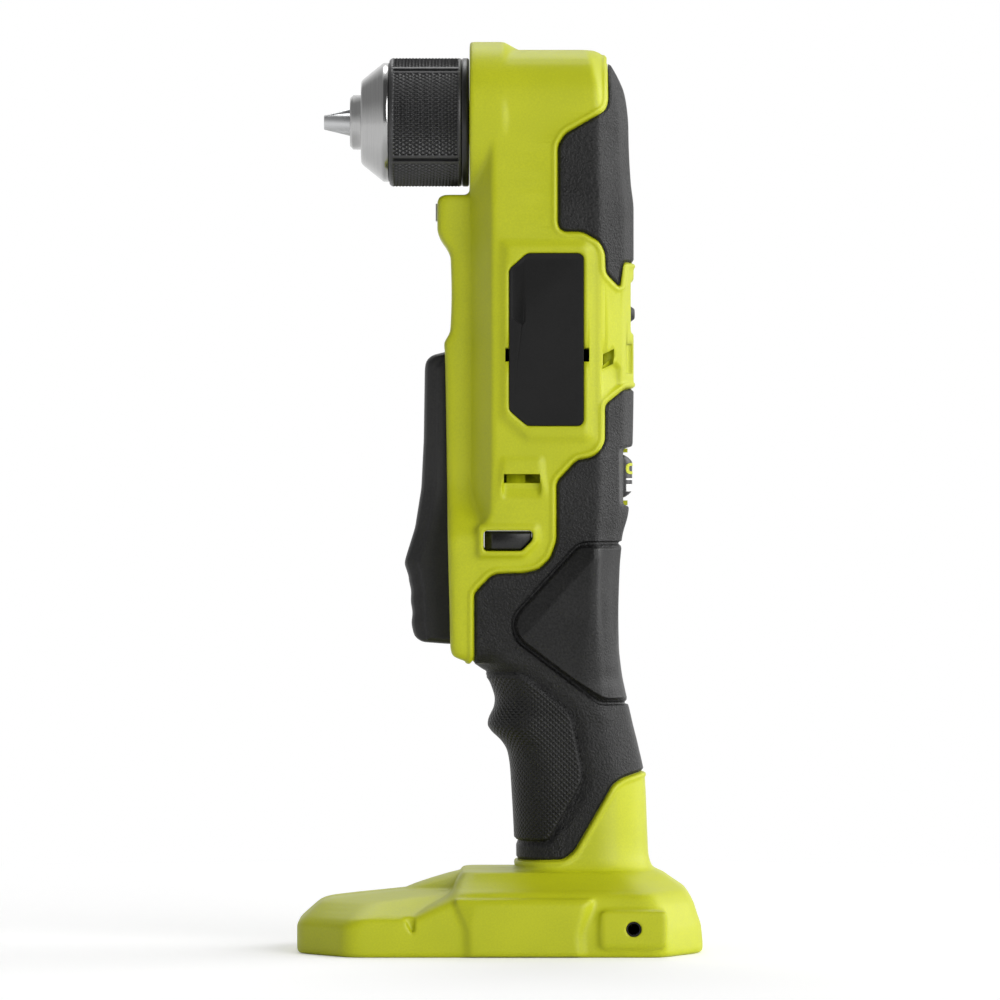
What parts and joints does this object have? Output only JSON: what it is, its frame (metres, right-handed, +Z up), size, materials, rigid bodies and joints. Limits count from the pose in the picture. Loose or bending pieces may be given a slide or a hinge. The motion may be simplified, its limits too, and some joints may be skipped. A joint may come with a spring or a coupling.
{
  "type": "right angle drill",
  "caption": "Cordless right angle drill with a keyless chuck at ninety degrees to a slim handle, long paddle trigger and a battery foot, shown without its battery.",
  "frame": {"origin": "bottom centre of the foot, on the plane it stands on", "axes": "+Z up along the handle, -X the way the chuck points, +Y to the tool's right hand side"},
  "size_m": [0.117, 0.073, 0.2633],
  "materials": {
    "lime_plastic": "satin moulded",
    "soft_black": "soft overmould, finely pebbled",
    "plate_black": "matte plate",
    "control_black": "fine spark texture",
    "sleeve_black": "knurled",
    "black_steel": "black oxide",
    "bare_steel": "turned",
    "bright_chrome": "polished",
    "cast_case": "die cast",
    "board_green": "solder mask",
    "contact_brass": "plain",
    "copper_wire": "enamelled wire",
    "wire_red": "wire insulation",
    "clear_lens": "clear lens"
  },
  "bodies": {
    "housing": {"housing_left": "lime_plastic", "housing_right": "lime_plastic", "housing_screws": "black_steel", "accessory_inserts": "black_steel", "rear_bumper_left": "soft_black", "rear_bumper_right": "soft_black", "handle_grip_left": "soft_black", "handle_grip_right": "soft_black", "nameplate_left": "plate_black", "nameplate_right": "plate_black", "rest_stud": "soft_black", "led_lens": "clear_lens", "led_board": "board_green", "mode_board": "board_green", "control_board": "board_green", "control_tray": "cast_case", "terminal_block": "control_black", "battery_contacts": "contact_brass", "switch_body": "control_black", "trigger_pin": "bare_steel", "wiring": "wire_red", "gear_case": "cast_case", "gear_case_cover": "cast_case", "gear_case_screws": "bare_steel", "spindle_bearing": "bare_steel", "spindle_bush": "contact_brass", "pinion_bearing": "bare_steel", "ring_gear": "bare_steel", "motor_mount_plate": "cast_case", "motor_front_bearing": "bare_steel", "motor_rear_bearing": "bare_steel", "stator_core": "bare_steel", "stator_windings": "copper_wire", "motor_board": "board_green"},
    "spindle": {"spindle": "bare_steel", "bevel_gear": "bare_steel", "chuck_body": "bare_steel", "chuck_screw": "bare_steel", "chuck_rear_collar": "sleeve_black"},
    "sleeve": {"chuck_sleeve": "sleeve_black", "chuck_hood": "bright_chrome", "chuck_nut": "bare_steel"},
    "jaw_a": {"jaw_1": "bare_steel"},
    "jaw_b": {"jaw_2": "bare_steel"},
    "jaw_c": {"jaw_3": "bare_steel"},
    "carrier": {"planet_carrier": "bare_steel", "bevel_pinion": "bare_steel"},
    "planet_a": {"planet_gear_1": "bare_steel"},
    "planet_b": {"planet_gear_2": "bare_steel"},
    "planet_c": {"planet_gear_3": "bare_steel"},
    "rotor": {"rotor_shaft": "bare_steel", "rotor_core": "bare_steel", "cooling_fan": "control_black"},
    "trigger": {"trigger": "control_black"},
    "plunger": {"switch_plunger": "bare_steel"},
    "selector": {"direction_selector": "control_black"},
    "button": {"mode_button": "control_black"}
  },
  "joints": [
    {"name": "spindle_spin", "type": "hinge", "parent": "housing", "child": "spindle", "pos_m": [0, 0, 0.24], "axis": [1, 0, 0], "continuous": true},
    {"name": "carrier_spin", "type": "hinge", "parent": "housing", "child": "carrier", "pos_m": [0.0145, 0, 0.21], "axis": [0, 0, 1], "continuous": true},
    {"name": "rotor_spin", "type": "hinge", "parent": "housing", "child": "rotor", "pos_m": [0.0145, 0, 0.155], "axis": [0, 0, 1], "continuous": true},
    {"name": "planet_a_spin", "type": "hinge", "parent": "carrier", "child": "planet_a", "pos_m": [0.025, 0, 0.2], "axis": [0, 0, 1], "continuous": true},
    {"name": "planet_b_spin", "type": "hinge", "parent": "carrier", "child": "planet_b", "pos_m": [0.00925, 0.00909, 0.2], "axis": [0, 0, 1], "continuous": true},
    {"name": "planet_c_spin", "type": "hinge", "parent": "carrier", "child": "planet_c", "pos_m": [0.00925, -0.00909, 0.2], "axis": [0, 0, 1], "continuous": true},
    {"name": "sleeve_turn", "type": "hinge", "parent": "spindle", "child": "sleeve", "pos_m": [-0.02, 0, 0.24], "axis": [1, 0, 0], "range_deg": [0, 3240]},
    {"name": "jaw_a_slide", "type": "slide", "parent": "spindle", "child": "jaw_a", "axis": [0.9563, -0.2879, -0.0508], "range_m": [0, 0.017]},
    {"name": "jaw_b_slide", "type": "slide", "parent": "spindle", "child": "jaw_b", "axis": [0.9563, 0.1, 0.2747], "range_m": [0, 0.017]},
    {"name": "jaw_c_slide", "type": "slide", "parent": "spindle", "child": "jaw_c", "axis": [0.9563, 0.1879, -0.224], "range_m": [0, 0.017]},
    {"name": "trigger_squeeze", "type": "hinge", "parent": "housing", "child": "trigger", "pos_m": [-0.0125, 0, 0.1695], "axis": [0, -1, 0], "range_deg": [0, 4], "stiffness_Nm_per_rad": 1.5, "springref_deg": -10},
    {"name": "plunger_slide", "type": "slide", "parent": "housing", "child": "plunger", "axis": [1, 0, 0], "range_m": [0, 0.0051]},
    {"name": "selector_slide", "type": "slide", "parent": "housing", "child": "selector", "axis": [0, 1, 0], "range_m": [-0.003, 0.003]},
    {"name": "button_press", "type": "slide", "parent": "housing", "child": "button", "axis": [-1, 0, 0], "range_m": [0, 0.0008], "stiffness_N_per_m": 600, "springref_m": -0.001}
  ],
  "couplings": [
    {"joint": "carrier_spin", "follows": "spindle_spin", "ratio": -2.5},
    {"joint": "rotor_spin", "follows": "spindle_spin", "ratio": -12.5},
    {"joint": "planet_a_spin", "follows": "spindle_spin", "ratio": 6.6667},
    {"joint": "planet_b_spin", "follows": "spindle_spin", "ratio": 6.6667},
    {"joint": "planet_c_spin", "follows": "spindle_spin", "ratio": 6.6667},
    {"joint": "jaw_a_slide", "follows": "sleeve_turn", "m_per_rad": 0.00029709},
    {"joint": "jaw_b_slide", "follows": "sleeve_turn", "m_per_rad": 0.00029709},
    {"joint": "jaw_c_slide", "follows": "sleeve_turn", "m_per_rad": 0.00029709},
    {"joint": "plunger_slide", "follows": "trigger_squeeze", "m_per_rad": 0.0695}
  ]
}
